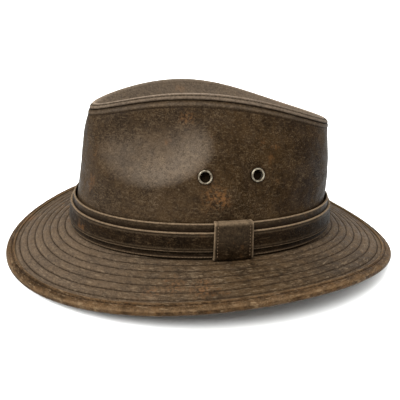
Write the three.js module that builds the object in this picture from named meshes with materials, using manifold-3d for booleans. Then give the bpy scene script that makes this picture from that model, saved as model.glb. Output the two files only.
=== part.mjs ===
// A traveller hat of weathered leather: crown, brim, two bands with a loop, and metal eyelets.
// Millimetres, +Z up. The front of the hat faces -Y and the wearer's left side is +X.
// Angles go round the hat in radians: 0 is the front, a quarter turn is the left side.

import * as THREE from "three";
import { mergeVertices } from "three/addons/utils/BufferGeometryUtils.js";
import Module from "manifold-3d";

// Driving dimensions. A list of waves holds a value's mean round the hat, and then how far it
// swings once, twice, three and four times round, each swing being greatest at the front.

const GAP = 0.3;
const FACETS_ROUND = 64;

// The oval outside of the under band, at the foot line where it meets the brim
const HEAD = { halfLength: 106, halfWidth: 89, narrowFront: 0.01, lean: 0.14 };
const FOOT_HEIGHT_WAVES = [0, 0.7, -2.7];

const BRIM = { width: 50.2, thickness: 2.2, curl: 0.2 };
// In degrees downward
const BRIM_SLOPE_WAVES = [10.2, 2.9, 7.9, -2.0];
const BINDING = { thickness: 1.0, reach: 7.5, pressedFlat: 0.5 };

const UNDER_BAND = { bottom: 1.9, top: 24.6, thickness: 1.2 };
const OVER_BAND = { bottom: 6.5, top: 19.3, thickness: 1.5 };
const LOOP = { angle: 85.2, width: 26.8, front: 1.3, back: 1.0, foot: 1.1, bottom: 0.5 };

// The crown stands clear of the under band, so that the loop can pass behind it. Its level is the
// height up to the band's top, and then a share of the slant height up to the seam.
const CROWN = { thickness: 2.0, bottom: -2.4, bandLevel: 25, seamLevel: 85 };
const CROWN_BULGE = { front: 1.1, side: 4.0, back: 1.1 };
const CROWN_HIGH_BULGE = { front: 0.8, side: 2.0, back: -1.0 };

// One pinch on each side of the front, as a rounded hollow that fades out toward its upper front
// and ends in a crisp bend at its lower back
const PINCH = {
  angle: 52.7,
  level: 63.9,
  depth: 8.6,
  frontReach: 32.7,
  backReach: 27.3,
  upReach: 19.4,
  downReach: 23.5,
  softPower: 1.4,
  crispPower: 1.0,
  crispTurn: 0.8,
};

// The seam between the crown's side and its top panel, and the rolled rim above it
const SEAM = { halfLength: 93.4, halfWidth: 46.5, narrowFront: 0.5, nose: 24, setBack: 4.2 };
const SEAM_HEIGHT_WAVES = [89.3, 6.3, -8.1, -1.2, 0.5];
const TIP = { thickness: 1.8, rimWidth: 3.8, rimRise: 3.8, centreHeight: 77, centreY: 8, hollow: 2.2 };

const EYELET = {
  boreRadius: 3.3,
  barrelRadius: 3.7,
  flangeRadius: 5.2,
  flangeHeight: 1.2,
  barrelLength: 3.4,
  standOff: 0.15,
  facets: 14,
};
const EYELET_PLACES = [
  { name: "eyelet_left_front", angle: 75.5, level: 46.9 },
  { name: "eyelet_left_back", angle: 96, level: 49 },
  { name: "eyelet_right_front", angle: -75.5, level: 46.9 },
  { name: "eyelet_right_back", angle: -96, level: 49 },
];

const crownOffset = -UNDER_BAND.thickness - GAP - LOOP.back - GAP;
const crownLeather = { color: 0x4a3c30, roughness: 0.62, metalness: 0 };
const brimLeather = { color: 0x6a5746, roughness: 0.66, metalness: 0 };
const bindingLeather = { color: 0x7b634d, roughness: 0.66, metalness: 0 };
const bandLeather = { color: 0x3c2e24, roughness: 0.58, metalness: 0 };
const agedMetal = { color: 0x8b8676, roughness: 0.38, metalness: 0.9 };

function waves(sizes, angle) {
  return sizes.reduce((sum, size, times) => sum + size * Math.cos(times * angle), 0);
}

function radians(degrees) {
  return THREE.MathUtils.degToRad(degrees);
}

// Surfaces of the hat

function outward(angle) {
  const x = HEAD.halfLength * Math.sin(angle);
  const y = -HEAD.halfWidth * Math.cos(angle);
  return new THREE.Vector3(x, y, 0).normalize();
}

// A point on the leaning oval wall round the head, offset outward
function footPoint(angle, offset, height) {
  const grown = offset - HEAD.lean * height;
  const narrowing = 1 - HEAD.narrowFront * Math.cos(angle);
  return new THREE.Vector3(
    (HEAD.halfWidth + grown) * Math.sin(angle) * narrowing,
    -(HEAD.halfLength + grown) * Math.cos(angle),
    height + waves(FOOT_HEIGHT_WAVES, angle),
  );
}

// A point near the top seam: inset is inward in plan and rise is upward
function seamPoint(angle, inset, rise) {
  const nose = SEAM.nose * Math.max(Math.cos(angle), 0) ** 4;
  const narrowing = 1 - SEAM.narrowFront * Math.cos(angle);
  return new THREE.Vector3(
    (SEAM.halfWidth - inset + nose) * Math.sin(angle) * narrowing,
    SEAM.setBack - (SEAM.halfLength - inset) * Math.cos(angle),
    waves(SEAM_HEIGHT_WAVES, angle) + rise,
  );
}

// Blend of a front, side and back value round the hat
function bySide(values, angle) {
  const along = Math.cos(angle) ** 2;
  const end = Math.cos(angle) > 0 ? values.front : values.back;
  return end * along + values.side * (1 - along);
}

function pinchDepth(angle, level) {
  const round = Math.abs(THREE.MathUtils.radToDeg(angle)) - PINCH.angle;
  const up = level - PINCH.level;
  const acrossShare = round / (round < 0 ? PINCH.frontReach : PINCH.backReach);
  const upShare = up / (up < 0 ? PINCH.downReach : PINCH.upReach);
  const share = acrossShare ** 2 + upShare ** 2;
  if (share >= 1) return 0;
  const crisp = THREE.MathUtils.clamp(0.5 + PINCH.crispTurn * (acrossShare - upShare), 0, 1);
  const power = PINCH.softPower + crisp * (PINCH.crispPower - PINCH.softPower);
  return PINCH.depth * (1 - share) ** power;
}

function crownPoint(angle, offset, level) {
  const onWall = footPoint(angle, crownOffset, Math.min(level, CROWN.bandLevel));
  const share = (level - CROWN.bandLevel) / (CROWN.seamLevel - CROWN.bandLevel);
  let out = offset;
  if (share > 0) {
    onWall.lerp(seamPoint(angle, 0, 0), share);
    out += bySide(CROWN_BULGE, angle) * Math.sin(Math.PI * share);
    out -= bySide(CROWN_HIGH_BULGE, angle) * Math.sin(2 * Math.PI * share);
    out -= pinchDepth(angle, level);
  }
  return onWall.addScaledVector(outward(angle), out);
}

// The top panel: across is 0 to 100 from its centre to the rim's crest, and then millimetres
// outward over the rim; up is measured from the height of the crest
const CREST = 100;

function tipPoint(angle, across, up) {
  const crestHeight = TIP.rimRise + GAP;
  if (across > CREST) {
    return seamPoint(angle, TIP.rimWidth - (across - CREST), crestHeight + up);
  }
  const share = across / CREST;
  const centre = new THREE.Vector3(0, TIP.centreY, TIP.centreHeight);
  const crest = seamPoint(angle, TIP.rimWidth, crestHeight);
  const point = centre.clone().lerp(crest, share);
  point.z = centre.z + (crest.z - centre.z) * share ** TIP.hollow + up;
  return point;
}

// The brim: across goes outward from the foot line along the leather, up is from its middle
function brimPoint(angle, across, up) {
  const slope = radians(waves(BRIM_SLOPE_WAVES, angle));
  const meanSlope = slope * (1 + BRIM.curl * (across / BRIM.width - 1));
  const localSlope = slope * (1 + BRIM.curl * ((2 * across) / BRIM.width - 1));
  const point = footPoint(angle, 0, -BRIM.thickness / 2);
  point.addScaledVector(outward(angle), across * Math.cos(meanSlope) + up * Math.sin(localSlope));
  point.z += up * Math.cos(localSlope) - across * Math.sin(meanSlope);
  return point;
}

// Makers of solids

// A closed outline of [across, up] corners, turned round a plain circle, whose points are then
// put in their places on the hat. An outline that touches the axis is turned about it instead.
function turned(outline, place, circle = 200) {
  const corners = outline.map(([across, up]) => new THREE.Vector2(circle + across, up));
  if (circle > 0) corners.push(corners[0].clone());
  const geometry = new THREE.LatheGeometry(corners, FACETS_ROUND);
  const position = geometry.attributes.position;
  for (let i = 0; i < position.count; i += 1) {
    const [x, z] = [position.getX(i), position.getZ(i)];
    const point = place(Math.atan2(x, z), Math.hypot(x, z) - circle, position.getY(i));
    position.setXYZ(i, point.x, point.y, point.z);
  }
  return geometry;
}

function rectangle(inner, bottom, outer, top) {
  return [[inner, bottom], [outer, bottom], [outer, top], [inner, top]];
}

function roundedOutline(path, inner, bottom, outer, top, radius) {
  const quarter = Math.PI / 2;
  path.moveTo(inner + radius, bottom);
  path.absarc(outer - radius, bottom + radius, radius, -quarter, 0, false);
  path.absarc(outer - radius, top - radius, radius, 0, quarter, false);
  path.absarc(inner + radius, top - radius, radius, quarter, 2 * quarter, false);
  path.absarc(inner + radius, bottom + radius, radius, 2 * quarter, 3 * quarter, false);
  path.closePath();
  return path;
}

const wasm = await Module();
wasm.setup();

function solid(geometry) {
  const plain = new THREE.BufferGeometry();
  plain.setAttribute("position", geometry.attributes.position);
  plain.setIndex(geometry.index);
  const merged = mergeVertices(plain, 1e-4);
  const vertProperties = new Float32Array(merged.attributes.position.array);
  const triVerts = new Uint32Array(merged.index.array);
  return new wasm.Manifold(new wasm.Mesh({ numProp: 3, vertProperties, triVerts }));
}

function geometryOf(manifold) {
  const mesh = manifold.getMesh();
  const geometry = new THREE.BufferGeometry();
  geometry.setAttribute("position", new THREE.BufferAttribute(mesh.vertProperties, 3));
  geometry.setIndex(new THREE.BufferAttribute(mesh.triVerts, 1));
  geometry.computeVertexNormals();
  return geometry;
}

function named(name, geometry, look) {
  const mesh = new THREE.Mesh(geometry, new THREE.MeshStandardMaterial(look));
  mesh.name = name;
  return mesh;
}

// Crown

function eyeletFrame({ angle, level }) {
  const step = 0.01;
  const at = radians(angle);
  const point = crownPoint(at, 0, level);
  const round = crownPoint(at + step, 0, level).sub(crownPoint(at - step, 0, level));
  const rising = crownPoint(at, 0, level + 1).sub(crownPoint(at, 0, level - 1));
  const normal = round.cross(rising).normalize();
  const turn = new THREE.Quaternion().setFromUnitVectors(new THREE.Vector3(0, 1, 0), normal);
  return { point, normal, turn };
}

function eyeletHole(place) {
  const { point, turn } = eyeletFrame(place);
  const radius = EYELET.barrelRadius + GAP;
  const punch = new THREE.CylinderGeometry(radius, radius, 4 * CROWN.thickness, EYELET.facets);
  punch.applyQuaternion(turn);
  punch.translate(point.x, point.y, point.z);
  return solid(punch);
}

function crownSide() {
  const rows = 8;
  const levels = [CROWN.bottom, CROWN.bandLevel / 2];
  for (let row = 0; row <= rows; row += 1) {
    levels.push(THREE.MathUtils.lerp(CROWN.bandLevel, CROWN.seamLevel, row / rows));
  }
  const outside = levels.map((level) => [0, level]);
  const inside = levels.map((level) => [-CROWN.thickness, level]).reverse();
  const wall = solid(turned([...outside, ...inside], crownPoint));
  const holes = EYELET_PLACES.map(eyeletHole);
  return geometryOf(holes.reduce((rest, hole) => rest.subtract(hole), wall));
}

function crownTip() {
  const shares = [0, 30, 50, 66, 80, 91, CREST];
  const rimSteps = 3;
  const outside = [];
  const inside = [];
  for (let step = 0; step < rimSteps; step += 1) {
    const bend = (Math.PI / 2) * (step / rimSteps);
    const inner = [TIP.rimWidth - TIP.thickness, TIP.rimRise - TIP.thickness];
    outside.push([CREST + TIP.rimWidth * Math.cos(bend), TIP.rimRise * (Math.sin(bend) - 1)]);
    inside.push([CREST + inner[0] * Math.cos(bend), inner[1] * Math.sin(bend) - TIP.rimRise]);
  }
  const below = shares.map((share) => [share, -TIP.thickness]);
  const above = shares.map((share) => [share, 0]).reverse();
  return turned([...below, ...inside.reverse(), ...outside, ...above], tipPoint, 0);
}

// Brim

const halfBrim = BRIM.thickness / 2;
const halfBinding = halfBrim + GAP + BINDING.thickness;
const brimEdge = BRIM.width - BINDING.thickness - GAP;

function brim() {
  const steps = 5;
  const inner = crownOffset + 3 * GAP;
  const spots = [];
  for (let step = 0; step <= steps; step += 1) {
    spots.push(THREE.MathUtils.lerp(inner, brimEdge, step / steps));
  }
  const below = spots.map((spot) => [spot, -halfBrim]);
  const above = spots.map((spot) => [spot, halfBrim]).reverse();
  return turned([...below, ...above], brimPoint);
}

function bindingOutline() {
  const start = BRIM.width - BINDING.reach;
  const bendStart = BRIM.width - halfBinding;
  const bendSteps = 4;
  const outside = [[start, -halfBinding]];
  for (let step = 0; step <= bendSteps; step += 1) {
    const bend = Math.PI * (step / bendSteps - 0.5);
    outside.push([bendStart + halfBinding * Math.cos(bend), halfBinding * Math.sin(bend)]);
  }
  outside.push([start, halfBinding]);
  const innerHalf = halfBrim + GAP;
  const innerEdge = brimEdge + GAP;
  return [...outside, [start, innerHalf], [innerEdge, innerHalf], [innerEdge, -innerHalf], [start, -innerHalf]];
}

// The hat rests on the binding at its front and back, where the leather is pressed flat
const lowest = Math.min(
  ...[0, Math.PI].flatMap((angle) => bindingOutline().map((corner) => brimPoint(angle, ...corner).z)),
);
const floor = lowest + BINDING.pressedFlat;

function bindingPoint(angle, across, up) {
  const point = brimPoint(angle, across, up);
  point.z = Math.max(point.z, floor);
  return point;
}

// Bands

function band({ bottom, top }, inner, outer) {
  return turned(rectangle(inner, bottom, outer, top), footPoint);
}

const overBandInner = GAP;
const overBandOuter = overBandInner + OVER_BAND.thickness;

function bandLoop() {
  const holeInner = -UNDER_BAND.thickness - GAP;
  const holeOuter = overBandOuter + GAP;
  const holeBottom = LOOP.bottom + LOOP.foot;
  const holeTop = UNDER_BAND.top + GAP;
  const inner = holeInner - LOOP.back;
  const outer = holeOuter + LOOP.front;
  const shape = roundedOutline(
    new THREE.Shape(), inner, LOOP.bottom, outer, holeTop + LOOP.front, LOOP.back / 2,
  );
  const hole = new THREE.Path();
  hole.moveTo(holeInner, holeBottom);
  hole.lineTo(holeInner, holeTop);
  hole.lineTo(holeOuter, holeTop);
  hole.lineTo(holeOuter, holeBottom);
  hole.closePath();
  shape.holes.push(hole);
  const settings = { depth: LOOP.width, steps: 4, bevelEnabled: false, curveSegments: 3 };
  const geometry = new THREE.ExtrudeGeometry(shape, settings);
  const position = geometry.attributes.position;
  const middle = radians(LOOP.angle);
  for (let i = 0; i < position.count; i += 1) {
    const around = middle - (position.getZ(i) - LOOP.width / 2) / HEAD.halfLength;
    const point = footPoint(around, position.getX(i), position.getY(i));
    position.setXYZ(i, point.x, point.y, point.z);
  }
  return geometry;
}

// Eyelets

function eyelet(place) {
  const { boreRadius, barrelRadius, flangeRadius, flangeHeight, barrelLength } = EYELET;
  const outline = [
    [boreRadius, -barrelLength],
    [barrelRadius, -barrelLength],
    [barrelRadius, 0],
    [flangeRadius, 0],
    [flangeRadius - 0.1, flangeHeight / 2],
    [(flangeRadius + barrelRadius) / 2, flangeHeight],
    [barrelRadius, flangeHeight],
    [boreRadius, flangeHeight / 2],
    [boreRadius, -barrelLength],
  ];
  const corners = outline.map(([radius, height]) => new THREE.Vector2(radius, height));
  const mesh = named(place.name, new THREE.LatheGeometry(corners, EYELET.facets), agedMetal);
  const { point, normal, turn } = eyeletFrame(place);
  mesh.position.copy(point).addScaledVector(normal, GAP + EYELET.standOff);
  mesh.quaternion.copy(turn);
  return mesh;
}

// Assembly, with the floor at zero and the brim's length centred on the origin

const hat = new THREE.Group();
hat.add(named("crown_side", crownSide(), crownLeather));
hat.add(named("crown_tip", crownTip(), crownLeather));
hat.add(named("brim", brim(), brimLeather));
hat.add(named("brim_binding", turned(bindingOutline(), bindingPoint), bindingLeather));
hat.add(named("under_band", band(UNDER_BAND, -UNDER_BAND.thickness, 0), bandLeather));
hat.add(named("over_band", band(OVER_BAND, overBandInner, overBandOuter), bandLeather));
hat.add(named("band_loop", bandLoop(), bandLeather));
EYELET_PLACES.forEach((place) => hat.add(eyelet(place)));

const frontEdge = bindingPoint(0, BRIM.width, 0).y;
const backEdge = bindingPoint(Math.PI, BRIM.width, 0).y;
hat.position.set(0, -(frontEdge + backEdge) / 2, -floor);

export default hat;
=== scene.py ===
# %% [markdown]
# # A weathered leather traveller hat
# The hat is cut and sewn from cowhide: an upright crown wall, a top panel that is dented along its
# middle, a stitched brim with a bound edge, two bands that a loop holds together, and pressed metal
# eyelets that let air in. The solids come from the frame; this lesson dresses them in leather.

# %% The frame
import math

import bmesh
import bpy
from mathutils import Matrix, Quaternion, Vector, noise


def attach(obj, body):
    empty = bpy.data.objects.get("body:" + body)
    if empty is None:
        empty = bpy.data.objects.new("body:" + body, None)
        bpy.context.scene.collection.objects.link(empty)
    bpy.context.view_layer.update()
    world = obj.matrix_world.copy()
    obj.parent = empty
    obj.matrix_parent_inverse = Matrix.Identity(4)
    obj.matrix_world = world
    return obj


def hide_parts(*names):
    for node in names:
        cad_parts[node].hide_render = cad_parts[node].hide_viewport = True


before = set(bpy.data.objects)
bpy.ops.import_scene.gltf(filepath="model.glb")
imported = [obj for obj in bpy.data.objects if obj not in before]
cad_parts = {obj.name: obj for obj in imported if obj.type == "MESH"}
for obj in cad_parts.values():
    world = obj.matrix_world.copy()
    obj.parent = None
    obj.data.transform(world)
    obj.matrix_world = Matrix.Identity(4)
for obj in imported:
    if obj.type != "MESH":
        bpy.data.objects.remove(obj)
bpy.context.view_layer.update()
print("solids:", sorted(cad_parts))

# %% [markdown]
# ## The hat's measures
# A hat is an oval that changes with height, so it is easier to describe round the head than in
# straight lines. Every point here has an angle round the hat, zero at the front and growing toward
# the wearer's left, and two distances. Sizes are in millimetres, as a hat maker would write them.
# A list of waves holds a mean and then how far the value swings once, twice, three and four times
# round the hat, each swing being greatest at the front.

# %% Sizes and the oval of the head
MM = 0.001
FOOT_MIDDLE = Vector((0.0, -0.245, 20.254))

HEAD_HALF_LENGTH = 106.0
HEAD_HALF_WIDTH = 89.0
HEAD_NARROW_FRONT = 0.01
WALL_LEAN = 0.14
FOOT_HEIGHT_WAVES = [0.0, 0.7, -2.7]


def waves(sizes, angle):
    return sum(size * math.cos(times * angle) for times, size in enumerate(sizes))


def outward(angle):
    along = Vector((HEAD_HALF_LENGTH * math.sin(angle), -HEAD_HALF_WIDTH * math.cos(angle), 0.0))
    return along.normalized()


def foot_point(angle, offset, height):
    """A point on the leaning oval wall round the head, offset outward."""
    grown = offset - WALL_LEAN * height
    narrowing = 1 - HEAD_NARROW_FRONT * math.cos(angle)
    across = (HEAD_HALF_WIDTH + grown) * math.sin(angle) * narrowing
    along = -(HEAD_HALF_LENGTH + grown) * math.cos(angle)
    return Vector((across, along, height + waves(FOOT_HEIGHT_WAVES, angle)))


def in_frame(point):
    """From millimetres about the middle of the foot line to metres in the frame."""
    return (point + FOOT_MIDDLE) * MM


left_foot = in_frame(foot_point(math.pi / 2, 0.0, 0.0))
print("foot of the crown at the left:", tuple(round(part, 4) for part in left_foot))

# %% [markdown]
# ## The camera
# The photograph looks at the wearer's left side, a little from the front and from above, from so
# near that the brim's near half looks wide. The lens is set for a square picture, and the camera
# leans a few degrees, because the hat's front stands higher in the picture than its back.

# %% Camera
CAMERA_AZIMUTH = 70.9
CAMERA_ELEVATION = 20.9
CAMERA_ROLL = 2.9
CAMERA_DISTANCE = 399.3
CAMERA_TARGET = Vector((0.0, -2.85, 10.9))
CAMERA_NEAREST = 0.02
CAMERA_FARTHEST = 50.0
FOCAL_PIXELS = 487.4
PICTURE_PIXELS = 400
SENSOR_WIDTH = 36.0


def direction(azimuth, elevation):
    """Toward an azimuth, from the hat's front round to the wearer's left, and an elevation."""
    turned, raised = math.radians(azimuth), math.radians(elevation)
    return Vector((
        math.sin(turned) * math.cos(raised),
        -math.cos(turned) * math.cos(raised),
        math.sin(raised),
    ))


def put_in_scene(name, data):
    made = bpy.data.objects.new(name, data)
    bpy.context.scene.collection.objects.link(made)
    return made


toward_camera = direction(CAMERA_AZIMUTH, CAMERA_ELEVATION)
camera_data = bpy.data.cameras.new("camera")
camera_data.sensor_width = SENSOR_WIDTH
camera_data.lens = SENSOR_WIDTH * FOCAL_PIXELS / PICTURE_PIXELS
camera_data.clip_start = CAMERA_NEAREST
camera_data.clip_end = CAMERA_FARTHEST
camera = put_in_scene("camera", camera_data)
camera.location = in_frame(CAMERA_TARGET + toward_camera * CAMERA_DISTANCE)
camera.rotation_mode = "QUATERNION"
level_view = (-toward_camera).to_track_quat("-Z", "Y")
camera.rotation_quaternion = level_view @ Quaternion((0, 0, 1), math.radians(CAMERA_ROLL))
bpy.context.scene.camera = camera
print("camera stands at", tuple(round(part, 3) for part in camera.location))

# %% [markdown]
# ## Light and floor
# A product photograph is lit by large soft boxes over white paper, and the paper throws light back
# up at the hat. A very wide lamp hangs above. A second one stands off the front of the hat, so that
# the pinch in the crown catches it. A pale world fills the shadows; near the horizon it is brighter,
# as a white backdrop would be, which keeps the far end of the paper white. Lamps with an area would
# light near and far places differently, so both lamps are suns with a wide angle instead.

# %% World and lamps
WORLD_STRENGTH = 0.45
HORIZON_STRENGTH = 1.1
HORIZON_TOP = 0.12
SKY_BOTTOM = 0.3
WHITE = (1.0, 1.0, 1.0, 1.0)

bpy.context.scene.view_settings.view_transform = "Standard"
world = bpy.data.worlds.new("studio")
world.use_nodes = True
world_links = world.node_tree.links
world_shader = world.node_tree.nodes["Background"]
world_facing = world.node_tree.nodes.new("ShaderNodeTexCoord")
world_height = world.node_tree.nodes.new("ShaderNodeSeparateXYZ")
world_fade = world.node_tree.nodes.new("ShaderNodeMapRange")
world_fade.inputs["From Min"].default_value = HORIZON_TOP
world_fade.inputs["From Max"].default_value = SKY_BOTTOM
world_fade.inputs["To Min"].default_value = HORIZON_STRENGTH
world_fade.inputs["To Max"].default_value = WORLD_STRENGTH
world_links.new(world_facing.outputs["Generated"], world_height.inputs[0])
world_links.new(world_height.outputs["Z"], world_fade.inputs["Value"])
world_links.new(world_fade.outputs["Result"], world_shader.inputs["Strength"])
world_shader.inputs["Color"].default_value = WHITE
bpy.context.scene.world = world


def soft_lamp(name, azimuth, elevation, strength, angle):
    """A far lamp that is as wide in the sky as its angle, so its shadows are soft."""
    data = bpy.data.lights.new(name, "SUN")
    data.energy = strength
    data.angle = math.radians(angle)
    lamp = put_in_scene(name, data)
    lamp.location = direction(azimuth, elevation)
    lamp.rotation_mode = "QUATERNION"
    lamp.rotation_quaternion = (-lamp.location).to_track_quat("-Z", "Y")
    print(name, "at azimuth", azimuth, "and elevation", elevation)


soft_lamp("lamp_above", azimuth=185.0, elevation=76.0, strength=4.3, angle=100.0)
soft_lamp("lamp_front", azimuth=26.0, elevation=48.0, strength=5.6, angle=40.0)

# %% [markdown]
# ## The paper
# The floor is a plain pale disc that isn't part of the hat, wide enough to reach the horizon. It
# lies a hair below the hat, so that no face of the brim shares its plane.

# %% Floor
FLOOR_RADIUS = 12.0
FLOOR_SIDES = 96
FLOOR_DROP = 0.0002
PAPER = (0.93, 0.94, 0.93, 1.0)
PAPER_ROUGHNESS = 0.9

floor_bm = bmesh.new()
bmesh.ops.create_circle(floor_bm, cap_ends=True, segments=FLOOR_SIDES, radius=FLOOR_RADIUS)
bmesh.ops.translate(floor_bm, verts=floor_bm.verts[:], vec=(0.0, 0.0, -FLOOR_DROP))
floor_mesh = bpy.data.meshes.new("floor")
floor_bm.to_mesh(floor_mesh)
floor_bm.free()
floor_material = bpy.data.materials.new("paper")
floor_material.use_nodes = True
floor_shader = floor_material.node_tree.nodes["Principled BSDF"]
floor_shader.inputs["Base Color"].default_value = PAPER
floor_shader.inputs["Roughness"].default_value = PAPER_ROUGHNESS
floor_mesh.materials.append(floor_material)
floor = put_in_scene("floor", floor_mesh)
print("floor laid")

# %% [markdown]
# ## Leather as a material
# Weathered cowhide is never one colour. Dark wax lies in the low places, fine scuffs show the paler
# hide, streaks run round the hat where it was stretched and wiped, and a few rusty stains lie over
# them. A painted picture could hold all this, but it would have to be unwrapped for every piece.
# Here each coat of colour is laid by noise on Object coordinates, which don't slide on a piece.
# Two numbers that each vertex carries, rub and groove, say where an edge is worn and where a lit
# place is painted paler as painted light, and where a seam holds dirt and where a deep join is
# painted darker as painted shade, so that wear follows the making. Small helpers keep the long
# chains of nodes readable.

# %% Helpers for nodes
def add_node(tree, kind, inputs, **settings):
    """A node with its settings, and its inputs linked or set."""
    made = tree.nodes.new(kind)
    for key, value in settings.items():
        setattr(made, key, value)
    for key, value in inputs.items():
        if isinstance(value, bpy.types.NodeSocket):
            tree.links.new(value, made.inputs[key])
        else:
            made.inputs[key].default_value = value
    return made


def combined(tree, operation, first, second):
    inputs = {0: first, 1: second}
    return add_node(tree, "ShaderNodeMath", inputs, operation=operation).outputs[0]


def vector_math(tree, operation, *vectors):
    inputs = dict(enumerate(vectors))
    return add_node(tree, "ShaderNodeVectorMath", inputs, operation=operation).outputs


def noise_at(tree, vector, scale, detail=3.0, roughness=0.55):
    inputs = {"Vector": vector, "Scale": scale, "Detail": detail, "Roughness": roughness}
    return add_node(tree, "ShaderNodeTexNoise", inputs).outputs["Fac"]


def between(tree, value, low, high, least=0.0, most=1.0):
    """Maps low..high of a value smoothly to least..most."""
    inputs = {"Value": value, "From Min": low, "From Max": high, "To Min": least, "To Max": most}
    made = add_node(tree, "ShaderNodeMapRange", inputs, interpolation_type="SMOOTHSTEP")
    return made.outputs[0]


def laid(tree, vector, low, high, least=0.0, most=1.0, **pattern):
    """How thickly a coat lies: a noise pattern whose low..high goes to least..most."""
    return between(tree, noise_at(tree, vector, **pattern), low, high, least, most)


def blend_colours(tree, factor, first, second):
    made = add_node(tree, "ShaderNodeMix", {0: factor, 6: first, 7: second}, data_type="RGBA")
    return made.outputs[2]


def attribute(tree, name):
    return add_node(tree, "ShaderNodeAttribute", {}, attribute_name=name).outputs["Fac"]


def opaque(colour):
    return (*colour, 1.0)


def new_material(name):
    """A material, its node tree, its shader and its Object coordinates."""
    material = bpy.data.materials.new(name)
    material.use_nodes = True
    tree = material.node_tree
    spot = add_node(tree, "ShaderNodeTexCoord", {}).outputs["Object"]
    return material, tree, tree.nodes["Principled BSDF"], spot


print("node helpers ready")

# %% [markdown]
# ## Streaks
# Leather that is wrapped round a hat shows its strain as faint lines round it. Noise gives lines
# when it changes slowly one way and fast the other. On the upright wall the fast way is the height;
# on the flat brim it is the distance from the middle.

# %% Coordinates for streaks
STREAK_ROUND_SCALE = 22.0
STREAK_ACROSS_SCALE = 900.0
LEVEL_ONLY = (1.0, 1.0, 0.0)


def drawn_round(tree, spot, upright):
    """Coordinates that change slowly round the hat, so that noise on them is drawn out that way."""
    flat = vector_math(tree, "MULTIPLY", spot, LEVEL_ONLY)["Vector"]
    unit = vector_math(tree, "NORMALIZE", flat)["Vector"]
    parts = add_node(tree, "ShaderNodeSeparateXYZ", {0: unit}).outputs
    if upright:
        across = add_node(tree, "ShaderNodeSeparateXYZ", {0: spot}).outputs["Z"]
    else:
        across = vector_math(tree, "LENGTH", flat)["Value"]
    return add_node(tree, "ShaderNodeCombineXYZ", {
        "X": combined(tree, "MULTIPLY", parts["X"], STREAK_ROUND_SCALE),
        "Y": combined(tree, "MULTIPLY", parts["Y"], STREAK_ROUND_SCALE),
        "Z": combined(tree, "MULTIPLY", across, STREAK_ACROSS_SCALE),
    }).outputs[0]


print("streak coordinates ready")

# %% [markdown]
# ## The coats of the leather
# The ground is a mottle of dark and mid brown from three noises, each finer than the last. Every
# other coat is a colour with a share that says where it lies, and the coats are laid in order, as a
# finisher would: greyed places, scuffs, light and dark streaks, stains, rubbed edges together with
# painted light on lit places, and last the dirt in the grooves together with painted shade in deep
# joins. Pores from a cell pattern lift the light. Very little mirror light is left, because dry
# waxed hide is nearly matt.

# %% Patterns and colours of the leather
PATCHES = dict(scale=26.0, detail=4.0)
CLOUDS = dict(scale=120.0, detail=5.0, roughness=0.65)
GRAIN = dict(scale=430.0, detail=4.0, roughness=0.7)
SPECKS = dict(scale=1150.0, detail=4.0, roughness=0.75)
MOTTLE_SHARES = (0.35, 0.35, 0.3)
MOTTLE = dict(low=0.41, high=0.59)
COLD_PLACES = dict(scale=85.0, low=0.52, high=0.66, most=0.5)
COLD_GREY_SHARE = 0.2
SCUFF_PLACES = dict(scale=60.0, low=0.35, high=0.65, least=0.35)
SCUFF_SPECKS = dict(low=0.48, high=0.66)
LIGHT_STREAKS = dict(scale=1.0, detail=4.0, roughness=0.65, low=0.54, high=0.68)
DARK_STREAKS = dict(scale=0.8, detail=4.0, roughness=0.65, low=0.46, high=0.34)
STAINS = dict(scale=40.0, detail=5.0, roughness=0.7, low=0.6, high=0.72)
STAIN_SHIFT = (0.31, 0.17, 0.05)
MARK_BREAKS = dict(low=0.44, high=0.64, most=0.7)
RUB_AND_LIGHT_BREAKS = dict(low=0.7, high=1.15, least=0.45)
DIRT_AND_SHADE_BREAKS = dict(low=0.35, high=0.6, least=0.55)
RUST = (0.08, 0.036, 0.0125)
GROOVE_DIRT_AND_SHADE = (0.007, 0.004, 0.002)
GLOSS_CLOUDS = dict(low=0.3, high=0.7)
GLOSS_BELOW = 0.06
GLOSS_ABOVE = 0.14
PORE_SCALE = 760.0
PORE_SHARE = 0.6
BUMP_STRENGTH = 0.7
BUMP_DISTANCE = 0.0003
LEATHER_SPECULAR = 0.018
print("shares of the three noises in the ground:", MOTTLE_SHARES)

# %% Leather
def mottled(tree, parts, dark, mid):
    """The ground colour: several noises, added up by their shares."""
    tone = combined(tree, "MULTIPLY", parts[0], MOTTLE_SHARES[0])
    for part, share in zip(parts[1:], MOTTLE_SHARES[1:]):
        tone = combined(tree, "ADD", tone, combined(tree, "MULTIPLY", part, share))
    return blend_colours(tree, between(tree, tone, **MOTTLE), opaque(dark), opaque(mid))


def rust_mark(tree, spot, grain, place, radius):
    """How much of a single stain lies here: it fades from its place and is broken by the grain."""
    far = vector_math(tree, "DISTANCE", spot, place)["Value"]
    near = between(tree, far, radius, 0.0)
    return combined(tree, "MULTIPLY", near, between(tree, grain, **MARK_BREAKS))


def add_pores(tree, shader, spot, grain, specks):
    inputs = {"Vector": spot, "Scale": PORE_SCALE}
    pores = add_node(tree, "ShaderNodeTexVoronoi", inputs, feature="SMOOTH_F1").outputs["Distance"]
    relief = combined(tree, "ADD", combined(tree, "MULTIPLY", pores, PORE_SHARE), specks)
    relief = combined(tree, "ADD", relief, grain)
    inputs = {"Height": relief, "Strength": BUMP_STRENGTH, "Distance": BUMP_DISTANCE}
    bump = add_node(tree, "ShaderNodeBump", inputs)
    tree.links.new(bump.outputs["Normal"], shader.inputs["Normal"])


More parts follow.
